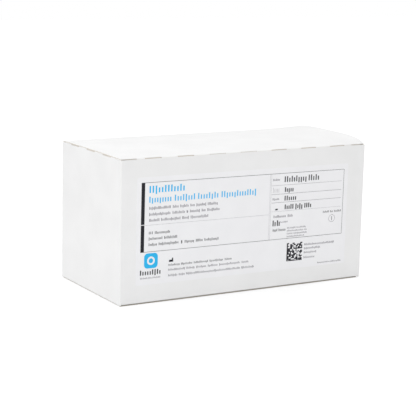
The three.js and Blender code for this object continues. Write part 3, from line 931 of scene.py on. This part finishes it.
# Bars and rules of solid ink: ink, left, top, right, bottom. None touches another.
SOLIDS = (
    (BLACK, 15.5, 17.2, 18.2, 46.2),
    (BLACK, 15.5, 46.6, 18.2, 65.5),
    (BLACK, 18.22, 17.2, 183.5, 17.45),
    (BLACK, 18.22, 65.25, 183.5, 65.5),
    (BLACK, 183.25, 17.5, 183.5, 65.2),
    (GREY, 119.0, 17.5, 119.1, 65.2),
    (GREY, 120.0, 17.5, 120.1, 65.2),
    (GREY, 18.6, 46.7, 118.9, 46.8),
    (GREY, 120.6, 25.8, 181.5, 25.95),
    (GREY, 120.6, 32.2, 181.5, 32.4),
    (GREY, 120.6, 38.3, 181.5, 38.5),
    (GREY, 120.6, 44.8, 181.5, 44.9),
    # A small stepped mark, and a dark spot.
    (BLACK, 37.9, 72.4, 41.2, 73.9),
    (BLACK, 40.2, 71.1, 41.2, 72.38),
    (BLACK, 124.0, 42.8, 126.2, 43.9),
)
# Sizes of the words: height of a stroke, its width, and the pitch.
TITLE = (4.8, 1.1, 2.4)
HEADING = (4.2, 0.9, 2.1)
VALUE = (3.5, 0.9, 1.8)
TEXT = (1.9, 0.45, 0.95)
NOTE = (1.5, 0.4, 0.9)
FINE = (1.1, 0.35, 0.8)
SYMBOL = (3.8, 0.15, 1.1)
# Lines of words: ink, size, bottom, then the words' left and right ends.
LINES = (
    (BLUE, TITLE, 24.5, (21.6, 48.9)),
    (BLUE, HEADING, 31.2, (21.6, 38.6), (41.4, 57.3), (59.8, 76.0), (78.7, 107.1)),
    (GREY, TEXT, 36.0, (21.8, 38.2), (40.0, 44.3), (45.9, 52.2), (53.9, 57.1), (58.7, 66.3), (67.7, 75.6)),
    (GREY, TEXT, 40.2, (21.8, 38.0), (39.9, 49.3), (51.0, 52.0), (53.6, 61.3), (63.0, 65.9), (67.5, 77.2)),
    (GREY, TEXT, 44.4, (21.8, 29.6), (31.2, 46.0), (47.6, 52.6), (54.3, 68.2)),
    (BLACK, TEXT, 53.2, (21.8, 24.6), (26.4, 38.1)),
    (BLACK, TEXT, 57.2, (21.8, 32.2), (33.8, 43.8)),
    (BLACK, TEXT, 61.3, (21.8, 28.0), (29.6, 44.9), (47.2, 48.0), (50.0, 57.3), (59.0, 64.2), (65.9, 77.1)),
    (BLACK, VALUE, 81.5, (15.5, 31.4)),
    (GREY, FINE, 84.2, (15.8, 21.4), (22.2, 26.0), (26.8, 31.2)),
    (BLACK, NOTE, 76.7, (37.7, 46.3), (47.6, 56.3), (57.8, 69.0), (70.6, 81.3), (83.0, 88.5)),
    (GREY, NOTE, 80.1, (37.7, 50.6), (52.0, 58.3), (60.0, 67.7), (69.3, 77.0), (78.6, 95.2), (97.2, 102.6)),
    (GREY, NOTE, 84.1, (37.7, 44.6), (46.0, 50.5), (51.9, 95.6), (97.0, 107.3)),
    (GREY, NOTE, 22.4, (121.5, 127.0)),
    (BLACK, HEADING, 23.8, (131.2, 150.0), (152.0, 161.0)),
    (GREY, SYMBOL, 31.0, (121.8, 126.6)),
    (BLACK, VALUE, 31.0, (131.7, 139.1)),
    (GREY, NOTE, 36.5, (121.5, 127.0)),
    (BLACK, VALUE, 37.3, (131.7, 141.6)),
    (BLACK, VALUE, 43.7, (132.1, 139.6), (141.4, 147.4), (149.2, 155.1)),
    (GREY, TEXT, 49.5, (122.9, 133.2), (135.0, 139.1)),
    (BLACK, HEADING, 55.5, (122.2, 124.8), (125.9, 128.3)),
    (GREY, FINE, 53.4, (128.9, 134.9)),
    (BLACK, TEXT, 59.4, (122.6, 126.4), (127.6, 133.4)),
    (GREY, FINE, 58.2, (134.9, 142.0), (143.2, 151.0)),
    (GREY, FINE, 60.3, (134.9, 149.0), (150.2, 152.1)),
    (GREY, FINE, 62.4, (134.9, 139.6), (140.8, 152.1)),
    (GREY, FINE, 64.5, (134.9, 149.8)),
    (BLACK, NOTE, 48.8, (166.0, 171.3), (172.6, 174.6), (176.0, 182.0)),
    (GREY, NOTE, 71.9, (150.5, 176.9)),
    (GREY, NOTE, 74.7, (150.5, 164.7)),
    (GREY, NOTE, 77.8, (150.5, 161.3)),
    (GREY, NOTE, 81.5, (150.5, 159.8)),
    (GREY, FINE, 86.4, (162.9, 183.8)),
)
CODE_LEFT, CODE_TOP, CODE_SIZE, CODE_CELLS = 135.3, 69.0, 13.5, 14


def across(x):
    """From millimetres right of the front wall's left edge to metres right of the label's middle."""
    return x * MM - HALF_LENGTH - LABEL_MIDDLE.x


def down(y):
    """From millimetres below the front wall's top edge to metres above the label's middle."""
    return HEIGHT - y * MM - LABEL_MIDDLE.z


def stroke_points(draw):
    """Words as runs of upright strokes: (ink, middle x, middle y, width, height), in millimetres."""
    strokes = []
    for ink, (tall, width, pitch), bottom, *words in LINES:
        for left, right in words:
            count = max(round((right - left - width) / pitch), 1)
            for i in range(count + 1):
                x = left + width / 2 + (right - left - width) * i / count
                height = tall if i == 0 or draw.random() < 0.35 else 0.72 * tall
                drop = 0.2 * tall if draw.random() < 0.12 else 0
                strokes.append((ink, x, bottom - height / 2 + drop / 2, width, height + drop))
    return strokes


def stroke_tree():
    """Stands a block of ink on each point, as wide and tall as the point says."""
    tree, given = geometry_tree("word strokes", {"Ink depth": "Float", "Ink": "Material"})
    wide = add_node(tree, "GeometryNodeInputNamedAttribute", {"Name": "wide"}, data_type="FLOAT")
    tall = add_node(tree, "GeometryNodeInputNamedAttribute", {"Name": "tall"}, data_type="FLOAT")
    size = add_node(tree, "ShaderNodeCombineXYZ", {"X": wide, "Y": given["Ink depth"], "Z": tall})
    cube = add_node(tree, "GeometryNodeMeshCube", {"Size": (1, 1, 1)})
    inked = placed(tree, {"Points": given["Geometry"], "Instance": cube, "Scale": size}, given["Ink"])
    add_node(tree, "NodeGroupOutput", {"Geometry": inked})
    return tree


def cell_tree():
    """A square of cells, of which a seeded part are inked. It holds no message."""
    inputs = {"Cells": "Int", "Size": "Float", "Ink depth": "Float", "Seed": "Int", "Ink": "Material"}
    tree, given = geometry_tree("cell square", inputs)
    cells = given["Cells"]
    cell = add_node(tree, "ShaderNodeMath", {0: given["Size"], 1: cells}, operation="DIVIDE")
    inner = add_node(tree, "ShaderNodeMath", {0: given["Size"], 1: cell}, operation="SUBTRACT")
    layout = {"Size X": inner, "Size Y": inner, "Vertices X": cells, "Vertices Y": cells}
    grid = add_node(tree, "GeometryNodeMeshGrid", layout)
    stood = add_node(tree, "GeometryNodeTransform", {"Geometry": grid, "Rotation": (math.pi / 2, 0, 0)})
    chance = add_node(
        tree, "FunctionNodeRandomValue", {"Probability": 0.6, "Seed": given["Seed"]}, data_type="BOOLEAN"
    )
    size = add_node(tree, "ShaderNodeCombineXYZ", {"X": cell, "Y": given["Ink depth"], "Z": cell})
    cube = add_node(tree, "GeometryNodeMeshCube", {"Size": (0.98, 1, 0.98)})
    instancing = {"Points": stood, "Selection": chance, "Instance": cube, "Scale": size}
    add_node(tree, "NodeGroupOutput", {"Geometry": placed(tree, instancing, given["Ink"])})
    return tree


def add_mesh(target, mesh, material_index):
    """Adds a mesh to one being built, all in one material."""
    before = len(target.faces)
    target.from_mesh(mesh)
    target.faces.ensure_lookup_table()
    for face in target.faces[before:]:
        face.material_index = material_index


def print_marks(flat, depth, ink):
    """The bars and rules, the badge, and the ring with a plain stroke through it."""
    for colour, left, top, right, bottom in SOLIDS:
        prism(flat, block(across(left), down(bottom), across(right), down(top)), depth, colour)
    # A generic mark: a rounded square with a ring left bare.
    x, z = across(23.8), down(71.7)
    prism(flat, rounded_square(x, z, 5.3 * MM, 2.6 * MM), depth, BLUE)
    lifted = [side - ink for side in depth]
    prism(flat, circle(x, z, 3.0 * MM), lifted, BARE, circle(x, z, 1.7 * MM))
    x, z = across(174.0), down(53.3)
    prism(flat, circle(x, z, 2.8 * MM), depth, GREY, circle(x, z, 2.6 * MM))
    prism(flat, block(x - 0.2 * MM, z - 1.6 * MM, x + 0.2 * MM, z + 1.6 * MM), depth, BLACK)


def print_words(flat, depth, inks, seed):
    """The lines of words, in each ink."""
    strokes = stroke_points(random.Random(seed))
    tree = stroke_tree()
    y = sum(depth) / 2
    for ink in (BLACK, BLUE, GREY):
        own = [stroke for stroke in strokes if stroke[0] == ink]
        points = bpy.data.meshes.new("points")
        points.from_pydata([(across(x), y, down(z)) for _, x, z, _, _ in own], [], [])
        for name, column in (("wide", 3), ("tall", 4)):
            attribute = points.attributes.new(name, "FLOAT", "POINT")
            attribute.data.foreach_set("value", [stroke[column] * MM for stroke in own])
        words = run_nodes(tree, points, {"Ink depth": depth[1] - depth[0], "Ink": inks[ink]})
        add_mesh(flat, words, ink)


def print_code(flat, depth, ink, seed):
    """The square of cells, and its two solid sides."""
    left, bottom, size = across(CODE_LEFT), down(CODE_TOP + CODE_SIZE), CODE_SIZE * MM
    cell = size / CODE_CELLS
    prism(flat, block(left, bottom, left + cell, bottom + size), depth, BLACK)
    prism(flat, block(left + 1.02 * cell, bottom, left + size, bottom + 0.6 * cell), depth, BLACK)
    thinner = 0.9 * (depth[1] - depth[0])
    values = {"Cells": CODE_CELLS, "Size": size, "Ink depth": thinner, "Seed": seed, "Ink": ink}
    cells = run_nodes(cell_tree(), bpy.data.meshes.new("carrier"), values)
    cells.transform(Matrix.Translation((left + size / 2, sum(depth) / 2, bottom + size / 2)))
    add_mesh(flat, cells, BLACK)


class SWAB_CARTON_OT_label(bpy.types.Operator):
    """Finish the label's paper, and print it with plain bars, rules and strokes that spell nothing"""

    bl_idname = "swab_carton.label"
    bl_label = "Label and print"

    def execute(self, context):
        settings = context.scene.swab_carton_label
        paper = label_paper()
        papers = frame["nodes"]["front_label"].data.materials
        papers.clear()
        papers.append(paper)
        inks = [
            printing_ink("black_printing_ink", settings.black, "2c2c34"),
            printing_ink("blue_printing_ink", settings.blue, "4ac4f4"),
            printing_ink("grey_printing_ink", settings.grey, "85818a"),
            paper,
        ]
        # The print is laid flat round the label's middle, a little way into the paper, and then turned.
        flat = bmesh.new()
        depth = (-settings.ink, 0.3 * settings.ink)
        print_marks(flat, depth, settings.ink)
        print_words(flat, depth, inks, settings.seed)
        print_code(flat, depth, inks[BLACK], settings.seed)
        place = Matrix.Translation((LABEL_MIDDLE.x, label_low.y, LABEL_MIDDLE.z))
        turned = place @ Matrix.Rotation(settings.turn, 4, "Y")
        bmesh.ops.transform(flat, matrix=turned, verts=flat.verts)
        bmesh.ops.recalc_face_normals(flat, faces=flat.faces)
        settle("label_print", mesh_of(flat, "label_print", inks), BODY)
        return {"FINISHED"}


# ------------------------------------------------------------------ the wrapped swabs

PAPER_THICKNESS, FILM_THICKNESS = 0.1 * MM, 0.06 * MM
SHAFT_RADIUS, TIP_RADIUS, TIP_LENGTH = 1.25 * MM, 2.5 * MM, 16 * MM
# How flat the tip is pressed, and how far the swab starts from its wrapper's end.
TIP_FLATNESS = 0.62
SWAB_START = 14 * MM


def film_shell(settings, height):
    """The wrapper's clear side: flat seals all round, and a dome over the swab."""
    sheet = Sheet(FILM_THICKNESS)
    half_length, half_width = settings.length / 2, settings.width / 2
    end_seal, side_seal = 9 * MM, 3.2 * MM
    side = [-half_width, -half_width + side_seal, -5 * MM, -3 * MM, -1.3 * MM]
    columns = [*side, 0, *[-y for y in reversed(side)]]
    seal = half_length - end_seal
    rows = [-half_length, -seal, -seal + 5 * MM, -seal + 12 * MM, -60 * MM, -30 * MM, 0, 30 * MM]
    rows += [seal - 26 * MM, seal - 19 * MM, seal - 12 * MM, seal - 5 * MM, seal, half_length]

    def on_film(x, y):
        dome = max(1 - (abs(y) / (half_width - side_seal)) ** 1.6, 0)
        ends = min(max((seal - abs(x)) / (9 * MM), 0), 1) ** 0.6
        tip = math.exp(-(((x - seal + 14 * MM) / (11 * MM)) ** 2))
        rise = height * (0.82 + 0.18 * tip) * dome * ends
        return sheet.flat(Vector((x, y, PAPER_THICKNESS + FILM_THICKNESS + rise)), UP)

    sheet.lay(rows, columns, on_film)
    return sheet.thickened([])


def paper_back(settings):
    """The wrapper's paper side."""
    paper = bmesh.new()
    bmesh.ops.create_cube(paper, size=1)
    bmesh.ops.scale(paper, vec=(settings.length, settings.width, PAPER_THICKNESS), verts=paper.verts)
    bmesh.ops.translate(paper, vec=UP * PAPER_THICKNESS / 2, verts=paper.verts)
    return mesh_of(paper, "paper")


def turned_solid(profile, sides, flat=1.0):
    """A closed solid of revolution along X, from (x, radius) points. Flat squashes its height."""
    shape = bmesh.new()
    turns = [2 * math.pi * i / sides for i in range(sides)]
    rings = []
    for x, radius in profile:
        ring = [(x, radius * math.cos(a), flat * radius * math.sin(a)) for a in turns]
        rings.append([shape.verts.new(point) for point in (ring if radius else ring[:1])])
    for first, second in zip(rings, rings[1:]):
        for i in range(sides):
            corners = [ring[k % len(ring)] for ring, k in ((first, i), (second, i))]
            corners += [ring[(i + 1) % sides % len(ring)] for ring in (second, first)]
            shape.faces.new(list(dict.fromkeys(corners))).smooth = True
    bmesh.ops.recalc_face_normals(shape, faces=shape.faces)
    mesh = mesh_of(shape, "turned")
    mesh.transform(Matrix.Translation(UP * (PAPER_THICKNESS + TIP_FLATNESS * TIP_RADIUS)))
    return mesh


def swab_shapes(settings, dome):
    """The four parts of a wrapped swab, lying along X."""
    start = SWAB_START - settings.length / 2
    end = start + settings.shaft
    inside_tip = end - 10 * MM
    shaft = [(start, 0), (start, 0.8 * SHAFT_RADIUS), (start + MM, SHAFT_RADIUS)]
    shaft += [(inside_tip, SHAFT_RADIUS), (inside_tip, 0)]
    bulge = ((0, 0), (0, 0.5), (0.12, 0.72), (0.35, 0.92), (0.65, 1), (0.85, 0.85), (0.96, 0.5), (1, 0))
    tip = [(end - TIP_LENGTH * (1 - part), TIP_RADIUS * size) for part, size in bulge]
    return {
        "Paper": paper_back(settings),
        "Film": film_shell(settings, dome),
        "Shaft": turned_solid(shaft, 8),
        "Tip": turned_solid(tip, 10, TIP_FLATNESS),
    }


def swab_materials():
    """The materials of a wrapped swab's parts."""
    return {
        # Bleached medical paper: matt and soft, with fine fibres.
        "Paper": fine_grained("bleached_medical_paper", "f3f2ee", "e6e4de", 0.7 * MM, 0.8, 0.00004),
        "Film": wrapper_film(),
        # Moulded polystyrene: a smooth, slightly glossy white stick.
        "Shaft": fine_grained("moulded_polystyrene", "f6f6f4", "f0f0ee", 4 * MM, 0.3, 0.00001),
        # Wound rayon: soft off-white fibres.
        "Tip": fine_grained("wound_rayon_fibre", "faf9f5", "e4e2da", 0.35 * MM, 0.95, 0.0002),
    }


def stack_tree(parts):
    """A stack of wrapped swabs, laid head to tail, each a little out of line."""
    inputs = {"Count": "Int", "Pitch": "Float", "Seed": "Int"}
    inputs |= {part: "Object" for part in parts}
    inputs |= {f"{part} material": "Material" for part in parts}
    tree, given = geometry_tree("swab stack", inputs)
    step = add_node(tree, "ShaderNodeCombineXYZ", {"Z": given["Pitch"]})
    line = add_node(tree, "GeometryNodeMeshLine", {"Count": given["Count"], "Offset": step})
    index = add_node(tree, "GeometryNodeInputIndex")
    limits = {0: (-0.9 * MM, -0.12 * MM, 0), 1: (0.9 * MM, 0.12 * MM, 0), "Seed": given["Seed"]}
    stray = add_node(tree, "FunctionNodeRandomValue", limits, data_type="FLOAT_VECTOR")
    moved = add_node(tree, "GeometryNodeSetPosition", {"Geometry": line, "Offset": stray})
    odd = add_node(tree, "ShaderNodeMath", {0: index, 1: 2.0}, operation="MODULO")
    limits = {2: -0.0012, 3: 0.0012, "Seed": given["Seed"]}
    slew = add_node(tree, "FunctionNodeRandomValue", limits, data_type="FLOAT")
    turn = add_node(tree, "ShaderNodeMath", {0: odd, 1: math.pi, 2: slew}, operation="MULTIPLY_ADD")
    spin = add_node(tree, "ShaderNodeCombineXYZ", {"Z": turn})
    rotation = add_node(tree, "FunctionNodeEulerToRotation", {"Euler": spin})
    joined = add_node(tree, "GeometryNodeJoinGeometry")
    for part in parts:
        shape = add_node(tree, "GeometryNodeObjectInfo", {"Object": given[part]}).outputs["Geometry"]
        instancing = {"Points": moved, "Instance": shape, "Rotation": rotation}
        finished = placed(tree, instancing, given[f"{part} material"])
        tree.links.new(finished.outputs["Geometry"], joined.inputs["Geometry"])
    add_node(tree, "NodeGroupOutput", {"Geometry": joined})
    return tree


class SWAB_CARTON_OT_swabs(bpy.types.Operator):
    """Fill the carton with four stacks of single-wrapped swabs"""

    bl_idname = "swab_carton.swabs"
    bl_label = "Wrapped swabs"

    def execute(self, context):
        settings = context.scene.swab_carton_swabs
        stacks = [f"swab_stack_{i}" for i in range(1, 5)]
        low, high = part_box(stacks[0])
        pitch = (high.z - low.z) / settings.per_stack
        shapes = swab_shapes(settings, pitch - 0.35 * MM)
        shared = {"Count": settings.per_stack, "Pitch": pitch}
        shared |= {f"{part} material": material for part, material in swab_materials().items()}
        templates = {part: object_of(part, mesh) for part, mesh in shapes.items()}
        tree = stack_tree(shapes)
        for number, node in enumerate(stacks, start=1):
            low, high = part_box(node)
            values = {**shared, **templates, "Seed": settings.seed + number}
            mesh = run_nodes(tree, bpy.data.meshes.new("carrier"), values)
            mesh.transform(Matrix.Translation(((low.x + high.x) / 2, (low.y + high.y) / 2, low.z)))
            settle(f"wrapped_swabs_{number}", mesh, BODY, [node])
        for template in templates.values():
            bpy.data.objects.remove(template)
        return {"FINISHED"}


# ------------------------------------------------------------------ the stage


def looking_rays(tree):
    """1 for what the camera sees, straight or by reflection or through film, and 0 for other light."""
    rays = add_node(tree, "ShaderNodeLightPath").outputs
    mirrored = {0: rays["Is Glossy Ray"], 1: rays["Is Transmission Ray"]}
    indirect = add_node(tree, "ShaderNodeMath", mirrored, operation="MAXIMUM")
    return add_node(tree, "ShaderNodeMath", {0: rays["Is Camera Ray"], 1: indirect}, operation="MAXIMUM")


def studio_floor():
    """White sweep: the camera sees it white, with the object's soft shadow on it."""
    material, tree, place = new_material("white_studio_sweep")
    plain = add_node(tree, "ShaderNodeBsdfDiffuse", {"Color": "f2f2f2"})
    # What the camera sees: partly white of its own, and partly a floor that takes shadow.
    shaded = add_node(tree, "ShaderNodeBsdfDiffuse", {"Color": (0.4, 0.4, 0.4, 1)})
    # Its own white grows away from the object, to make up for the lamps' light falling off.
    distance = add_node(tree, "ShaderNodeVectorMath", {0: place}, operation="LENGTH")
    growth = {"Value": distance, "From Min": 0.07, "From Max": 0.2, "To Min": 0.62, "To Max": 0.84}
    white = add_node(tree, "ShaderNodeMapRange", growth)
    glow = add_node(tree, "ShaderNodeEmission", {"Color": "ffffff", "Strength": white})
    seen = add_node(tree, "ShaderNodeAddShader", {0: shaded, 1: glow})
    mixed = add_node(tree, "ShaderNodeMixShader", {0: looking_rays(tree), 1: plain, 2: seen})
    add_node(tree, "ShaderNodeOutputMaterial", {"Surface": mixed})
    return material


def studio_sky(strength):
    """Even white light, which the camera and reflections see as plain white."""
    world = bpy.data.worlds.new("studio_sky")
    world.use_nodes = True
    tree = world.node_tree
    tree.nodes.clear()
    light = add_node(tree, "ShaderNodeBackground", {"Color": "ffffff", "Strength": strength})
    white = add_node(tree, "ShaderNodeBackground", {"Color": "ffffff", "Strength": 1.0})
    mixed = add_node(tree, "ShaderNodeMixShader", {0: looking_rays(tree), 1: light, 2: white})
    add_node(tree, "ShaderNodeOutputWorld", {"Surface": mixed})
    return world


def soft_light(name, place, aim, size, energy):
    """A square soft light that faces what it aims at."""
    lamp = bpy.data.lights.new(name, "AREA")
    lamp.size = size
    lamp.energy = energy
    light = object_of(name, lamp)
    light.location = place
    light.rotation_euler = (aim - Vector(place)).to_track_quat("-Z", "Y").to_euler()


class SWAB_CARTON_OT_stage(bpy.types.Operator):
    """Set the camera, the soft lights, the white sky and the pale floor"""

    bl_idname = "swab_carton.stage"
    bl_label = "Stage"

    def execute(self, context):
        settings = context.scene.swab_carton_stage
        azimuth, elevation, roll = settings.azimuth, settings.elevation, settings.roll
        right = Vector((math.cos(azimuth), math.sin(azimuth), 0))
        level = Vector((math.sin(azimuth), -math.cos(azimuth), 0))
        back = level * math.cos(elevation) + UP * math.sin(elevation)
        up = back.cross(right)
        tilted_right = right * math.cos(roll) + up * math.sin(roll)
        tilted_up = up * math.cos(roll) - right * math.sin(roll)
        middle = UP * HEIGHT / 2
        aim = middle + tilted_right * settings.aim_right + tilted_up * settings.aim_up

        lens = bpy.data.cameras.new("camera")
        lens.sensor_width = 36
        lens.lens = settings.lens
        camera = object_of("camera", lens)
        facing = Matrix((tilted_right, tilted_up, back)).transposed().to_4x4()
        camera.matrix_world = Matrix.Translation(aim + back * settings.distance) @ facing
        context.scene.camera = camera

        floor = bmesh.new()
        bmesh.ops.create_grid(floor, x_segments=1, y_segments=1, size=3)
        object_of("studio_floor", mesh_of(floor, "studio_floor", [studio_floor()]))

        soft_light("overhead_light", (-0.2, 0.1, 1.2), middle, 1.0, 2.3)
        soft_light("top_left_light", (-0.9, -0.35, 1.3), middle, 1.2, 3.4)
        soft_light("left_front_light", (-0.6, -0.6, 0.6), middle, 0.4, 1.05)
        context.scene.world = studio_sky(settings.sky)
        context.scene.view_settings.view_transform = "Standard"
        return {"FINISHED"}


# ------------------------------------------------------------------ the add-on

OPERATORS = (
    SWAB_CARTON_OT_board,
    SWAB_CARTON_OT_lid,
    SWAB_CARTON_OT_label,
    SWAB_CARTON_OT_swabs,
    SWAB_CARTON_OT_stage,
)


class SWAB_CARTON_PT_panel(bpy.types.Panel):
    """Lists the carton's pieces and their settings."""

    bl_idname = "SWAB_CARTON_PT_panel"
    bl_label = "Swab carton"
    bl_space_type = "VIEW_3D"
    bl_region_type = "UI"
    bl_category = "Swab carton"

    def draw(self, context):
        for operator in OPERATORS:
            self.layout.operator(operator.bl_idname)
        for name, group in GROUPS.items():
            box = self.layout.box()
            for prop in group.__annotations__:
                box.prop(getattr(context.scene, name), prop)


def register():
    for group in GROUPS.values():
        bpy.utils.register_class(group)
    for name, group in GROUPS.items():
        setattr(bpy.types.Scene, name, bpy.props.PointerProperty(type=group))
    for shown in (*OPERATORS, SWAB_CARTON_PT_panel):
        bpy.utils.register_class(shown)


def unregister():
    for shown in (SWAB_CARTON_PT_panel, *reversed(OPERATORS)):
        bpy.utils.unregister_class(shown)
    for name in GROUPS:
        delattr(bpy.types.Scene, name)
    for group in GROUPS.values():
        bpy.utils.unregister_class(group)


def main():
    register()
    bpy.ops.swab_carton.stage()
    bpy.ops.swab_carton.board()
    bpy.ops.swab_carton.lid()
    bpy.ops.swab_carton.label()
    bpy.ops.swab_carton.swabs()


if __name__ == "__main__":
    main()
